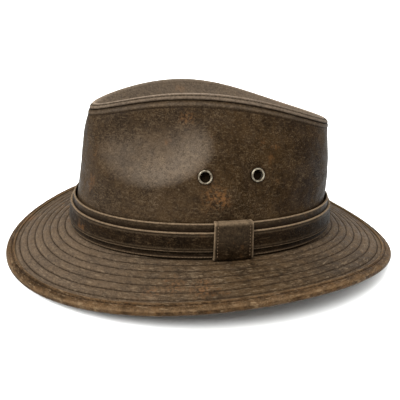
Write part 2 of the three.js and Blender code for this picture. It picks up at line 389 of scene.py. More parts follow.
def leather(name, dark, mid, scuffed, rubbed_and_lit, speckle, streaks, rust, gloss, marks=(), upright=True):
    """Waxed hide: mottled from dark to mid, speckled and streaked with scuffs, rubbed at edges and
    painted paler as painted light, darkened by dirt and painted shade.
    """
    material, tree, shader, spot = new_material(name)
    patches = noise_at(tree, spot, **PATCHES)
    clouds = noise_at(tree, spot, **CLOUDS)
    grain = noise_at(tree, spot, **GRAIN)
    specks = noise_at(tree, spot, **SPECKS)
    mapping = {"Vector": spot, "Location": STAIN_SHIFT}
    shifted = add_node(tree, "ShaderNodeMapping", mapping).outputs[0]
    drawn = drawn_round(tree, spot, upright)
    greyed = tuple((1 - COLD_GREY_SHARE) * part + COLD_GREY_SHARE * sum(mid) / 3 for part in mid)
    scuffs = between(tree, specks, **SCUFF_SPECKS, most=speckle)
    rub_and_light_breaks = between(tree, combined(tree, "ADD", grain, specks), **RUB_AND_LIGHT_BREAKS)
    dirt_and_shade_breaks = between(tree, clouds, **DIRT_AND_SHADE_BREAKS)
    coats = [
        (laid(tree, shifted, **COLD_PLACES), greyed),
        (combined(tree, "MULTIPLY", scuffs, laid(tree, spot, **SCUFF_PLACES)), scuffed),
        (laid(tree, drawn, **LIGHT_STREAKS, most=streaks), scuffed),
        (laid(tree, drawn, **DARK_STREAKS, most=streaks), dark),
        (laid(tree, shifted, **STAINS, most=rust), RUST),
        *((rust_mark(tree, spot, grain, place, radius), RUST) for place, radius in marks),
        # Rubbed edges, and painted light on lit places, share this coat.
        (combined(tree, "MULTIPLY", attribute(tree, "rub_and_painted_light"), rub_and_light_breaks), rubbed_and_lit),
        # Dirt in the grooves, and painted shade in deep joins, share this coat.
        (combined(tree, "MULTIPLY", attribute(tree, "groove"), dirt_and_shade_breaks), GROOVE_DIRT_AND_SHADE),
    ]
    colour = mottled(tree, (patches, clouds, grain), dark, mid)
    for share, paint in coats:
        colour = blend_colours(tree, share, colour, opaque(paint))
    tree.links.new(colour, shader.inputs["Base Color"])
    matt = between(tree, clouds, **GLOSS_CLOUDS, least=gloss - GLOSS_BELOW, most=gloss + GLOSS_ABOVE)
    tree.links.new(matt, shader.inputs["Roughness"])
    add_pores(tree, shader, spot, grain, specks)
    shader.inputs["Specular IOR Level"].default_value = LEATHER_SPECULAR
    print("leather:", name, "in", len(coats), "coats over the ground")
    return material


# %% The hat's four leathers
crown_leather = leather(
    "crown_hide",
    dark=(0.0056, 0.0026, 0.0006),
    mid=(0.0188, 0.0102, 0.0036),
    scuffed=(0.082, 0.057, 0.033),
    rubbed_and_lit=(0.165, 0.128, 0.094),
    speckle=0.48,
    streaks=0.35,
    rust=0.5,
    gloss=0.47,
    marks=[
        ((0.073, -0.018, 0.063), 0.013),
        ((0.0755, -0.0133, 0.06), 0.008),
        ((0.0445, -0.031, 0.108), 0.008),
    ],
)
brim_leather = leather(
    "brim_hide",
    dark=(0.007, 0.0037, 0.0014),
    mid=(0.0308, 0.0178, 0.0078),
    scuffed=(0.115, 0.084, 0.052),
    # On the brim this paler colour is laid only as painted light.
    rubbed_and_lit=(0.124, 0.092, 0.065),
    speckle=0.5,
    streaks=0.65,
    rust=0.75,
    gloss=0.5,
    upright=False,
    marks=[
        ((0.115, -0.039, 0.0197), 0.012),
        ((0.106, -0.053, 0.0189), 0.011),
        ((0.106, -0.0675, 0.0168), 0.009),
        ((0.109, -0.035, 0.0205), 0.008),
    ],
)
binding_leather = leather(
    "binding_hide",
    dark=(0.012, 0.0061, 0.0023),
    mid=(0.048, 0.026, 0.0112),
    scuffed=(0.112, 0.077, 0.044),
    rubbed_and_lit=(0.112, 0.07, 0.036),
    speckle=0.6,
    streaks=0.8,
    rust=0.7,
    gloss=0.5,
    upright=False,
)
band_leather = leather(
    "band_hide",
    dark=(0.0025, 0.0012, 0.0003),
    mid=(0.0078, 0.004, 0.0014),
    scuffed=(0.046, 0.0305, 0.0165),
    rubbed_and_lit=(0.12, 0.084, 0.051),
    speckle=0.52,
    streaks=0.5,
    rust=0.6,
    gloss=0.47,
)

# %% [markdown]
# ## Thread and metal
# The thread is waxed and twisted; from a hand's length away only its colour and the gaps between
# stitches show, so a rough brown shader with a fine change of tone is enough. The eyelets are brass
# that has gone grey: a metal shader, duller where the tarnish is thick.

# %% Thread and eyelet metal
STRANDS = dict(scale=1500.0, detail=2.0, low=0.35, high=0.65)
THREAD_WORN = 1.6
THREAD_ROUGHNESS = 0.7
TARNISH = dict(scale=420.0, detail=4.0, roughness=0.6)
TARNISH_COLOUR = dict(low=0.4, high=0.62)
TARNISH_ROUGHNESS = dict(low=0.35, high=0.65, least=0.38, most=0.6)
BRASS_BRIGHT = (0.2, 0.175, 0.13)
BRASS_DULL = (0.08, 0.062, 0.042)
BRASS_METALLIC = 0.9


def thread(name, colour):
    """Twisted thread in its own colour and in a worn, paler one."""
    material, tree, shader, spot = new_material(name)
    worn = tuple(THREAD_WORN * part for part in colour)
    tone = blend_colours(tree, laid(tree, spot, **STRANDS), opaque(colour), opaque(worn))
    tree.links.new(tone, shader.inputs["Base Color"])
    shader.inputs["Roughness"].default_value = THREAD_ROUGHNESS
    shader.inputs["Specular IOR Level"].default_value = LEATHER_SPECULAR
    return material


dark_thread = thread("dark_thread", (0.01, 0.0064, 0.0036))
tan_thread = thread("tan_thread", (0.07, 0.046, 0.027))

eyelet_metal, metal_tree, metal_shader, metal_spot = new_material("aged_brass")
tarnish = noise_at(metal_tree, metal_spot, **TARNISH)
dulled = between(metal_tree, tarnish, **TARNISH_COLOUR)
metal_tone = blend_colours(metal_tree, dulled, opaque(BRASS_BRIGHT), opaque(BRASS_DULL))
metal_matt = between(metal_tree, tarnish, **TARNISH_ROUGHNESS)
metal_tree.links.new(metal_tone, metal_shader.inputs["Base Color"])
metal_tree.links.new(metal_matt, metal_shader.inputs["Roughness"])
metal_shader.inputs["Metallic"].default_value = BRASS_METALLIC
print("thread and metal ready")

# %% [markdown]
# ## Turning an outline into a ring
# Every leather part of the hat goes all the way round, so each starts as the outline that a knife
# cut across it would show. The outline is drawn with a few vertices, divided, and spun once round a
# plain circle. Then each vertex is moved from the circle to its own place on the hat. The
# alternative, lofting between ovals, would need its own lists of faces.

# %% Ring helpers
CIRCLE = 200.0
WELD_DISTANCE = 0.0001


def divided(corners):
    """Points along a closed outline of (across, up, step) corners, a step apart."""
    points = []
    for (across, up, step), (next_across, next_up, _) in zip(corners, corners[1:] + corners[:1]):
        pieces = math.ceil(math.hypot(next_across - across, next_up - up) / step)
        for piece in range(pieces):
            share = piece / pieces
            points.append((across + (next_across - across) * share, up + (next_up - up) * share))
    return points


def spun(points, rounds, circle, closed):
    """Joins the points of an outline with edges and spins it once round the circle."""
    bm = bmesh.new()
    verts = [bm.verts.new((circle + across, 0.0, up)) for across, up in points]
    for pair in zip(verts, verts[1:] + verts[:1] * closed):
        bm.edges.new(pair)
    bmesh.ops.spin(bm, geom=bm.verts[:] + bm.edges[:], cent=(0, 0, 0), axis=(0, 0, 1),
                   angle=math.tau, steps=rounds, use_merge=True)
    bmesh.ops.remove_doubles(bm, verts=bm.verts[:], dist=WELD_DISTANCE)
    bmesh.ops.recalc_face_normals(bm, faces=bm.faces[:])
    return bm


def spun_ring(corners, rounds):
    return spun(divided(corners), rounds, CIRCLE, True)


def dress(bm, place):
    """Moves each vertex to the hat, and notes its wear and painted light, and its dirt and painted
    shade.
    """
    rub_and_painted_light = bm.verts.layers.float.new("rub_and_painted_light")
    groove = bm.verts.layers.float.new("groove")
    for vert in bm.verts:
        point, vert[rub_and_painted_light], vert[groove] = place(*vert.co)
        vert.co = in_frame(point)


def seat(bm, place, circle=CIRCLE):
    """Moves a spun ring from its circle to place(angle, across, up)."""
    dress(bm, lambda x, y, up: place(math.atan2(x, -y), math.hypot(x, y) - circle, up))


def finish_piece(name, bm, material, slot=None, *nodes):
    """Makes the mesh an object that rides with the hat."""
    mesh = bpy.data.meshes.new(name)
    bm.to_mesh(mesh)
    bm.free()
    mesh.shade_smooth()
    mesh.materials.append(material)
    made = put_in_scene(name, mesh)
    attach(made, "root")
    if nodes:
        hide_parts(*nodes)
    print(name, "has", len(mesh.polygons), "faces")


print("ring helpers ready")

# %% [markdown]
# ## Relief, wear, painted light and painted shade
# Blocked leather is nearly smooth, but never quite: it wavers, sinks along a seam and wears where
# hands and tables touch it. Sculpting this by hand couldn't be repeated, so a few short curves give
# it, each with a width in millimetres. The same curves shape the relief and place the wear, the
# painted light and the painted shade on it.

# %% Curves for relief and wear
def bell(distance, width):
    """1 at no distance, falling smoothly to 0 over about twice the width."""
    return math.exp(-((distance / width) ** 2))


def clamped(value):
    return min(1.0, max(0.0, value))


def step_up(distance, sharpness):
    """0 well before an edge and 1 well past it."""
    return 1 / (1 + math.exp(-distance * sharpness))


def facing(angle, degrees):
    """1 at that many degrees round from the front, falling to 0 a quarter turn away."""
    return max(0.0, math.cos(angle - math.radians(degrees))) ** 2


def ripples(rise, round_scale, along_scale, shift=0.0):
    """A relief that wavers by about rise, round the hat and along the leather."""
    def relief(angle, along):
        east = math.sin(angle) * round_scale + shift
        north = math.cos(angle) * round_scale
        return rise * noise.noise(Vector((east, north, along * along_scale)))
    return relief


print("bell at its width:", round(bell(1.0, 1.0), 2))

# %% [markdown]
# ## Stitches
# A lockstitch shows as a row of short raised threads with gaps between them. Each one here is a
# small stretched ball of a few dozen faces, laid along its line at an even distance and turned to
# lie on the leather. A texture of dashes would be quicker, but it wouldn't stand up from the hide.

# %% Stitch helper
STITCH_SIDES = 6
STITCH_RINGS = 4
STITCH_SAMPLES = 720
STITCH_STAND = 0.2


def stitch_places(line, pitch, length, radius, start=-math.pi, end=math.pi):
    """Where stitches lie along line(way, lift), a point on the way that far above the hide."""
    span = end - start
    ways = [start + span * index / STITCH_SAMPLES for index in range(STITCH_SAMPLES + 1)]
    points = [line(way, 0.0) for way in ways]
    reached = [0.0]
    for first, second in zip(points, points[1:]):
        reached.append(reached[-1] + (second - first).length)
    count = max(1, round(reached[-1] / pitch))
    size = Matrix.Diagonal((length / 2 * MM, radius * MM, radius * MM, 1.0))
    places = []
    index = 0
    for number in range(count):
        wanted = reached[-1] * (number + 0.5) / count
        while reached[index + 1] < wanted:
            index += 1
        share = (wanted - reached[index]) / (reached[index + 1] - reached[index])
        way = ways[index] + share * (ways[index + 1] - ways[index])
        along = (points[index + 1] - points[index]).normalized()
        above = (line(way, 1.0) - line(way, 0.0)).normalized()
        beside = above.cross(along).normalized()
        turn = Matrix((along, beside, along.cross(beside))).transposed().to_4x4()
        middle = in_frame(line(way, radius * STITCH_STAND))
        places.append(Matrix.Translation(middle) @ turn @ size)
    return places


def sew(name, places, material):
    """One stitch, copied until there is one for each place, then each copy put at its place."""
    bm = bmesh.new()
    bmesh.ops.create_uvsphere(bm, u_segments=STITCH_SIDES, v_segments=STITCH_RINGS, radius=1.0)
    number = bm.verts.layers.int.new("number")
    made = 1
    while made < len(places):
        copied = min(made, len(places) - made)
        originals = [vert for vert in bm.verts if vert[number] < copied]
        originals += [edge for edge in bm.edges if edge.verts[0][number] < copied]
        originals += [face for face in bm.faces if face.verts[0][number] < copied]
        for copy in bmesh.ops.duplicate(bm, geom=originals)["geom"]:
            if isinstance(copy, bmesh.types.BMVert):
                copy[number] += made
        made += copied
    for vert in bm.verts:
        vert.co = places[vert[number]] @ vert.co
    bm.verts.layers.int.remove(number)
    print(name, "has", made, "stitches")
    finish_piece(name, bm, material)


print("stitch helper ready")

# %% [markdown]
# ## The brim
# The brim is two layers of hide with a stiffener between them, sewn through in rows that follow the
# edge. Each row pulls the leather down, and the leather puffs up between two rows. The rows lie
# closest together at the front and back. The relief is added to the height of each vertex as the
# ring is seated, so the stitched rows are real shape on both faces of the brim.

# %% Brim sizes
BRIM_WIDTH = 50.2
BRIM_THICKNESS = 2.2
BRIM_CURL = 0.2
BRIM_SLOPE_WAVES = [10.2, 2.9, 7.9, -2.0]
BINDING_THICKNESS = 1.0
BINDING_REACH = 7.5
GAP = 0.3
CROWN_OFFSET = -2.8
ROWS = 7
ROW_OUTERMOST = 39.4
ROW_SPACING_WAVES = [6.5, 0.0, -0.6]
half_brim = BRIM_THICKNESS / 2
brim_edge = BRIM_WIDTH - BINDING_THICKNESS - GAP
binding_start = BRIM_WIDTH - BINDING_REACH


def brim_point(angle, across, up):
    """Across goes outward from the foot line along the leather; up is from its middle."""
    slope = math.radians(waves(BRIM_SLOPE_WAVES, angle))
    mean_slope = slope * (1 + BRIM_CURL * (across / BRIM_WIDTH - 1))
    local_slope = slope * (1 + BRIM_CURL * (2 * across / BRIM_WIDTH - 1))
    out = across * math.cos(mean_slope) + up * math.sin(local_slope)
    point = foot_point(angle, 0.0, -half_brim) + outward(angle) * out
    point.z += up * math.cos(local_slope) - across * math.sin(mean_slope)
    return point


def row_across(angle, row):
    return ROW_OUTERMOST - row * waves(ROW_SPACING_WAVES, angle)


print("rows at the left side, mm:", [round(row_across(math.pi / 2, row), 1) for row in range(ROWS)])

# %% Brim
BRIM_ROUNDS = 360
ROW_DEPTH = 0.5
ROW_HALF_WIDTH = 0.55
PUFF_RISE = 0.42
PUFF_REACH = 2.4
PUFF_END = 0.8
PUFF_END_SHARPNESS = 4
BRIM_SINK = 0.1
BRIM_FRONT_PAINTED_LIGHT = 0.38
BRIM_FRONT_PAINTED_LIGHT_DEGREES = 10
BRIM_BACK_PAINTED_LIGHT = 0.3
BRIM_ROW_DIRT = 0.75
brim_pucker = ripples(rise=0.14, round_scale=30, along_scale=0.45)
brim_wander = ripples(rise=0.3, round_scale=9, along_scale=0.1)


def brim_relief(angle, across):
    """How far the surface stands above its plain height, and how near a row is."""
    spacing = waves(ROW_SPACING_WAVES, angle)
    rows_in = (ROW_OUTERMOST - across) / spacing
    distance = abs(rows_in - round(rows_in)) * spacing
    near_row = bell(distance, ROW_HALF_WIDTH)
    puff = PUFF_RISE * (1 - bell(distance, PUFF_REACH))
    relief = puff - ROW_DEPTH * near_row + brim_pucker(angle, across) + brim_wander(angle, across)
    free = step_up(binding_start - PUFF_END - across, PUFF_END_SHARPNESS)
    return relief * free - BRIM_SINK, near_row * free


def place_brim(angle, across, up):
    relief, near_row = brim_relief(angle, across)
    side = 1 if up > 0 else -1
    share = min(1.0, abs(up) / half_brim)
    point = brim_point(angle, across, up + side * share * relief)
    # Painted light: the brim is painted paler toward its front and toward its back, for the light
    # that falls there.
    painted_light = BRIM_FRONT_PAINTED_LIGHT * facing(angle, BRIM_FRONT_PAINTED_LIGHT_DEGREES)
    painted_light += BRIM_BACK_PAINTED_LIGHT * max(0.0, -math.cos(angle))
    return point, painted_light * share, BRIM_ROW_DIRT * near_row * share


inner_edge = CROWN_OFFSET + 3 * GAP
brim_bm = spun_ring([
    (inner_edge, -half_brim, 1.0),
    (brim_edge, -half_brim, 1.1),
    (brim_edge, half_brim, 0.42),
    (inner_edge, half_brim, 1.1),
], BRIM_ROUNDS)
seat(brim_bm, place_brim)
finish_piece("brim_leather", brim_bm, brim_leather, "brim_leather", "brim")

# %% Stitched rows on the brim
def brim_row_line(row, side):
    def line(angle, lift):
        across = row_across(angle, row)
        relief, _ = brim_relief(angle, across)
        return brim_point(angle, across, side * (half_brim + relief + lift))
    return line


row_places = []
for row in range(ROWS):
    for side in (1, -1):
        row_places += stitch_places(brim_row_line(row, side), pitch=3.2, length=2.4, radius=0.26)
sew("brim_row_stitches", row_places, dark_thread)

# %% [markdown]
# ## The binding
# A strip of softer hide is folded over the brim's edge and sewn through. Handling has rubbed it to
# tan. It is spun from a U-shaped outline whose outer side is round. Where the hat rests, at its
# front and back, the strip is pressed flat on the floor.

# %% Brim binding
BINDING_ROUNDS = 300
BINDING_BENDS = 12
BINDING_LIP_EASE = 0.5
BINDING_STITCH_LINE = 44.9
BINDING_STITCH_DEPTH = 0.3
BINDING_STITCH_HALF_WIDTH = 0.45
BINDING_LIP_WEAR = 0.8
BINDING_LIP_WEAR_REACH = 0.5
BINDING_EDGE_WEAR = 0.45
BINDING_EDGE_WEAR_REACH = 2.2
BINDING_STITCH_DIRT = 0.6
half_binding = half_brim + GAP + BINDING_THICKNESS
binding_ripple = ripples(rise=0.12, round_scale=34, along_scale=0.2)


def binding_outline():
    """The U that goes round the brim's edge, from its lower inner lip to its upper one."""
    middle = BRIM_WIDTH - half_binding
    bends = [math.pi * (step / BINDING_BENDS - 0.5) for step in range(BINDING_BENDS + 1)]
    outside = [
        (middle + half_binding * math.cos(bend), half_binding * math.sin(bend), 1.0)
        for bend in bends
    ]
    outside[-1] = (middle, half_binding, 0.4)
    ease = BINDING_LIP_EASE
    inner_half = half_brim + GAP
    return [
        (binding_start + ease, -half_binding, 0.8),
        *outside,
        (binding_start + ease, half_binding, 0.5),
        (binding_start + 0.2 * ease, half_binding - 0.3 * ease, 0.5),
        (binding_start, half_binding - ease, 0.5),
        (binding_start, inner_half, 1.0),
        (brim_edge + GAP, inner_half, 1.0),
        (brim_edge + GAP, -inner_half, 1.0),
        (binding_start, -inner_half, 1.0),
        (binding_start, -half_binding + ease, 0.5),
    ]


def binding_relief(angle, across):
    sunk = bell(across - BINDING_STITCH_LINE, BINDING_STITCH_HALF_WIDTH)
    return binding_ripple(angle, across) - BINDING_STITCH_DEPTH * sunk, sunk


def place_binding(angle, across, up):
    relief, sunk = binding_relief(angle, across)
    outside = 1.0 if abs(up) > half_binding - 0.8 * BINDING_THICKNESS else 0.0
    side = 1 if up > 0 else -1
    point = brim_point(angle, across, up + side * outside * relief)
    point.z = max(point.z, -FOOT_MIDDLE.z)
    lip = BINDING_LIP_WEAR * bell(across - binding_start, BINDING_LIP_WEAR_REACH)
    edge = BINDING_EDGE_WEAR * bell(across - BRIM_WIDTH, BINDING_EDGE_WEAR_REACH)
    return point, min(1.0, lip + edge) * outside, BINDING_STITCH_DIRT * sunk * outside


binding_bm = spun_ring(binding_outline(), BINDING_ROUNDS)
seat(binding_bm, place_binding)
finish_piece("brim_binding_strip", binding_bm, binding_leather, "binding_leather", "brim_binding")

# %% Stitches of the binding
def binding_stitch_line(side):
    def line(angle, lift):
        relief, _ = binding_relief(angle, BINDING_STITCH_LINE)
        return brim_point(angle, BINDING_STITCH_LINE, side * (half_binding + relief + lift))
    return line


binding_places = []
for side in (1, -1):
    binding_places += stitch_places(binding_stitch_line(side), pitch=3.0, length=2.2, radius=0.27)
sew("brim_binding_stitches", binding_places, dark_thread)

# %% [markdown]
# ## The crown wall
# The wall is one strip of hide, sewn into a tube and blocked to shape while damp. A pinch on each
# side of the front is where the wearer's fingers lift the hat: its lower and rear rim is crisp, and
# its upper and front rim fades out. The pinch, a slight bulge and slow unevenness are all added
# outward as the ring is seated, so the wall keeps an even thickness, as leather does.

# %% Crown sizes
CROWN_THICKNESS = 2.0
CROWN_BOTTOM = -2.4
BAND_LEVEL = 25.0
SEAM_LEVEL = 85.0
CROWN_BULGE = (1.1, 4.0, 1.1)
CROWN_HIGH_BULGE = (0.8, 2.0, -1.0)
SEAM_HALF_LENGTH = 93.4
SEAM_HALF_WIDTH = 46.5
SEAM_NARROW_FRONT = 0.5
SEAM_NOSE = 24.0
SEAM_SET_BACK = 4.2
SEAM_HEIGHT_WAVES = [89.3, 6.3, -8.1, -1.2, 0.5]
PINCH_ANGLE = 52.7
PINCH_LEVEL = 63.9
PINCH_DEPTH = 8.6
PINCH_FRONT_REACH = 32.7
PINCH_BACK_REACH = 27.3
PINCH_UP_REACH = 19.4
PINCH_DOWN_REACH = 23.5
PINCH_SOFT_POWER = 1.4
PINCH_CRISP_POWER = 1.0
PINCH_CRISP_MIDDLE = 0.35
PINCH_CRISP_TURN = 0.8
PINCH_CRISP_FALL = 0.7


def seam_point(angle, inset, rise):
    """A point near the seam at the crown's top: inset inward in plan, rise upward."""
    nose = SEAM_NOSE * max(math.cos(angle), 0.0) ** 4
    narrowing = 1 - SEAM_NARROW_FRONT * math.cos(angle)
    return Vector((
        (SEAM_HALF_WIDTH - inset + nose) * math.sin(angle) * narrowing,
        SEAM_SET_BACK - (SEAM_HALF_LENGTH - inset) * math.cos(angle),
        waves(SEAM_HEIGHT_WAVES, angle) + rise,
    ))


def by_side(front_side_back, angle):
    """A value that goes smoothly between its sizes at the front, the sides and the back."""
    front, side, back = front_side_back
    along = math.cos(angle) ** 2
    return (front if math.cos(angle) > 0 else back) * along + side * (1 - along)


def from_pinch(angle, level):
    """Degrees behind the pinch's middle, on either side of the hat, and millimetres above it."""
    return abs(math.degrees(angle)) - PINCH_ANGLE, level - PINCH_LEVEL


def pinch_depth(angle, level):
    round_way, up = from_pinch(angle, level)
    across_share = round_way / (PINCH_FRONT_REACH if round_way < 0 else PINCH_BACK_REACH)
    up_share = up / (PINCH_DOWN_REACH if up < 0 else PINCH_UP_REACH)
    share = across_share**2 + up_share**2
    if share >= 1:
        return 0.0
    low_back = across_share - PINCH_CRISP_FALL * up_share
    crisp = clamped(PINCH_CRISP_MIDDLE + PINCH_CRISP_TURN * low_back)
    power = PINCH_SOFT_POWER + crisp * (PINCH_CRISP_POWER - PINCH_SOFT_POWER)
    return PINCH_DEPTH * (1 - share) ** power


def crown_point(angle, offset, level):
    """A point offset outward from the outer face of the wall."""
    point = foot_point(angle, CROWN_OFFSET, min(level, BAND_LEVEL))
    share = (level - BAND_LEVEL) / (SEAM_LEVEL - BAND_LEVEL)
    if share > 0:
        point = point.lerp(seam_point(angle, 0.0, 0.0), share)
        offset += by_side(CROWN_BULGE, angle) * math.sin(math.pi * share)
        offset -= by_side(CROWN_HIGH_BULGE, angle) * math.sin(math.tau * share)
        offset -= pinch_depth(angle, level)
    return point + outward(angle) * offset


print("deepest pinch, mm:", round(pinch_depth(math.radians(PINCH_ANGLE), PINCH_LEVEL), 1))

# %% [markdown]
# ## Relief, wear and painted highlight of the wall
# A strip is turned over under the seam and sewn down, so it stands a little proud. A short crease
# rises behind the pinch, where the hide was folded as it was blocked. Years of hands have polished
# the strip's upper edge. The pinch's floor, and most of all its low rear rim, are painted paler as a
# painted highlight, and the front of the wall is painted a little paler as painted light. The
# painted highlight is worked out from the pinch's own depth, so that it would move with the pinch
# if its sizes changed.

# %% Crown wall
CROWN_ROUNDS = 320
SIDE_STITCH_LEVEL = 81.6
SIDE_STITCH_DEPTH = 0.35
SIDE_STITCH_HALF_WIDTH = 0.5
SIDE_STITCH_DIRT = 0.75
STRIP_RISE = 0.35
STRIP_SHARPNESS = 4
STRIP_WEAR = 0.16
STRIP_WEAR_LEVEL = 83.2
STRIP_WEAR_REACH = 0.9
SEAM_PAINTED_SHADE = 0.9
SEAM_PAINTED_SHADE_REACH = 0.5
BAND_FADE = 6
SEAM_FADE = 8
CREASE_DEGREES = 82.5
CREASE_LEAN = 0.16
CREASE_LEAN_LEVEL = 66
CREASE_RISE = 0.55
CREASE_HALF_WIDTH = 2.2
CREASE_LEVEL = 73
CREASE_REACH = 6.5
# Painted highlight on the pinch.
PINCH_HIGHLIGHT_LEVEL = 66.0
PINCH_HIGHLIGHT_SHARPNESS = 0.3
PINCH_FLOOR_HIGHLIGHT = 0.18
PINCH_HIGHLIGHT_GROWTH = 2.5
CRESCENT_HIGHLIGHT = 0.28
CRESCENT_BACK = 0.75
CRESCENT_LOW = 0.65
CROWN_FRONT_PAINTED_LIGHT = 0.05
CROWN_FRONT_PAINTED_LIGHT_DEGREES = 15
crown_slow = ripples(rise=0.55, round_scale=3.6, along_scale=0.05)
crown_quick = ripples(rise=0.24, round_scale=11, along_scale=0.11, shift=5)


def crown_relief(angle, level):
    """The height of the relief on the wall, and how near the stitched line is."""
    free = clamped((level - BAND_LEVEL) / BAND_FADE) * clamped((SEAM_LEVEL - level) / SEAM_FADE)
    strip = STRIP_RISE * step_up(level - SIDE_STITCH_LEVEL, STRIP_SHARPNESS)
    sunk = bell(level - SIDE_STITCH_LEVEL, SIDE_STITCH_HALF_WIDTH)
    lean = CREASE_LEAN * (level - CREASE_LEAN_LEVEL)
    from_crease = abs(math.degrees(angle)) - CREASE_DEGREES + lean
    crease = CREASE_RISE * bell(from_crease, CREASE_HALF_WIDTH)
    crease *= bell(level - CREASE_LEVEL, CREASE_REACH)
    uneven = crown_slow(angle, level) + crown_quick(angle, level) + crease
    return free * uneven + strip - SIDE_STITCH_DEPTH * sunk, sunk


def pinch_painted_highlight(angle, level):
    """Painted highlight on the pinch: its floor, and a crescent at its low rear rim."""
    sunk_share = pinch_depth(angle, level) / PINCH_DEPTH
    round_way, up = from_pinch(angle, level)
    low_back = CRESCENT_BACK * round_way / PINCH_BACK_REACH - CRESCENT_LOW * up / PINCH_DOWN_REACH
    crescent = 4 * sunk_share * (1 - sunk_share) * max(0.0, low_back)
    low = step_up(PINCH_HIGHLIGHT_LEVEL - level, PINCH_HIGHLIGHT_SHARPNESS)
    return PINCH_FLOOR_HIGHLIGHT * min(1.0, PINCH_HIGHLIGHT_GROWTH * sunk_share) * low + CRESCENT_HIGHLIGHT * crescent


def place_crown(angle, offset, level):
    relief, sunk = crown_relief(angle, level)
    point = crown_point(angle, offset + relief, level)
    outside = 1.0 if offset > -CROWN_THICKNESS / 2 else 0.0
    rub_and_painted_light = STRIP_WEAR * bell(level - STRIP_WEAR_LEVEL, STRIP_WEAR_REACH) + pinch_painted_highlight(angle, level)
    # Painted light: the wall is painted a little paler toward the front.
    rub_and_painted_light += CROWN_FRONT_PAINTED_LIGHT * facing(angle, CROWN_FRONT_PAINTED_LIGHT_DEGREES)
    # The stitched line is darkened with dirt; the top edge at the seam is painted darker as painted
    # shade in the seam's valley.
    dirt_and_shade = SIDE_STITCH_DIRT * sunk + SEAM_PAINTED_SHADE * bell(level - SEAM_LEVEL, SEAM_PAINTED_SHADE_REACH)
    return point, rub_and_painted_light * outside, min(1.0, dirt_and_shade) * outside


crown_bm = spun_ring([
    (0.0, CROWN_BOTTOM, 1.3),
    (0.0, BAND_LEVEL, 0.95),
    (0.0, 79.0, 0.5),
    (0.0, 84.1, 0.4),
    (-0.25, 84.6, 0.4),
    (-0.9, 84.95, 1.1),
    (-CROWN_THICKNESS, 84.95, 1.5),
    (-CROWN_THICKNESS, BAND_LEVEL, 1.5),
    (-CROWN_THICKNESS, CROWN_BOTTOM, 1.0),
], CROWN_ROUNDS)
seat(crown_bm, place_crown)
print("crown wall faces:", len(crown_bm.faces))

# %% [markdown]
# ## Eyelets
# Two pressed eyelets on each side let the crown breathe. A hole is punched in the wall first: the
# faces inside its circle are removed from both skins, the two ragged rims are drawn to the circle,
# and the rims are bridged. The eyelet itself is a small outline spun round its own axis.

# %% Eyelet holes
HOLE_RADIUS = 4.3
PUNCH_REACH = 8.0
PROBE_TURN = 0.01
PROBE_RISE = 1
EYELET_PLACES = [
    ("eyelet_left_front", 75.5, 46.9),
    ("eyelet_left_back", 96.0, 48.6),
    ("eyelet_right_front", -75.5, 46.9),
    ("eyelet_right_back", -96.0, 48.6),
]


def eyelet_frame(degrees, level):
    """The eyelet's middle on the wall, and the wall's direction outward there."""
    angle = math.radians(degrees)

    def wall(turn, rise):
        return crown_point(angle + turn, 0.0, level + rise)
    along = wall(PROBE_TURN, 0) - wall(-PROBE_TURN, 0)
    rising = wall(0.0, PROBE_RISE) - wall(0.0, -PROBE_RISE)
    return wall(0.0, 0), along.cross(rising).normalized()


def punch(bm, middle, axis, radius):
    """Removes the faces within radius of the axis and closes the hole's wall."""
    def from_axis(place):
        away = place - middle
        return away - axis * away.dot(axis), away.dot(axis)
    inside = []
    for face in bm.faces:
        across, along = from_axis(face.calc_center_median())
        if across.length < radius and abs(along) < PUNCH_REACH * MM:
            inside.append(face)
    bmesh.ops.delete(bm, geom=inside, context="FACES")
    rims = [edge for edge in bm.edges if edge.is_boundary]
    for vert in {vert for edge in rims for vert in edge.verts}:
        across, along = from_axis(vert.co)
        vert.co = middle + axis * along + across.normalized() * radius
    bmesh.ops.bridge_loops(bm, edges=rims)
    return len(inside)


for name, degrees, level in EYELET_PLACES:
    middle, axis = eyelet_frame(degrees, level)
    removed = punch(crown_bm, in_frame(middle), axis, HOLE_RADIUS * MM)
    print(name, "hole: faces removed", removed)
finish_piece("crown_side_leather", crown_bm, crown_leather, "crown_leather", "crown_side")

# %% Eyelets
EYELET_BORE = 3.45
EYELET_FLANGE = 4.85
EYELET_HEIGHT = 1.15
EYELET_BARREL_DEPTH = 3.4
EYELET_BARREL_WALL = 0.4
EYELET_FLANGE_FOOT = 0.2
EYELET_STAND = 0.15
EYELET_BENDS = 8
EYELET_ROUNDS = 48


def eyelet_bmesh(middle, axis):
    """A rolled flange on a short barrel, from an outline spun round the axis."""
    barrel_outside = EYELET_BORE + EYELET_BARREL_WALL
    roll_middle = (EYELET_BORE + EYELET_FLANGE) / 2
    roll_half = (EYELET_FLANGE - EYELET_BORE) / 2
    roll_rise = EYELET_HEIGHT - EYELET_FLANGE_FOOT
    outline = [
        (EYELET_BORE, -EYELET_BARREL_DEPTH),
        (barrel_outside, -EYELET_BARREL_DEPTH),
        (barrel_outside, 0.0),
        (EYELET_FLANGE, 0.0),
    ]
    for step in range(EYELET_BENDS + 1):
        bend = math.pi * step / EYELET_BENDS
        across = roll_middle + roll_half * math.cos(bend)
        outline.append((across, EYELET_FLANGE_FOOT + roll_rise * math.sin(bend)))
    bm = spun(outline, EYELET_ROUNDS, 0.0, True)
    turn = Vector((0, 0, 1)).rotation_difference(axis).to_matrix().to_4x4()
    place = Matrix.Translation(in_frame(middle + axis * (GAP + EYELET_STAND)))
    bmesh.ops.transform(bm, matrix=place @ turn @ Matrix.Scale(MM, 4), verts=bm.verts[:])
    return bm


for name, degrees, level in EYELET_PLACES:
    eyelet_bm = eyelet_bmesh(*eyelet_frame(degrees, level))
    finish_piece(name + "_ring", eyelet_bm, eyelet_metal, "eyelet_metal", name)

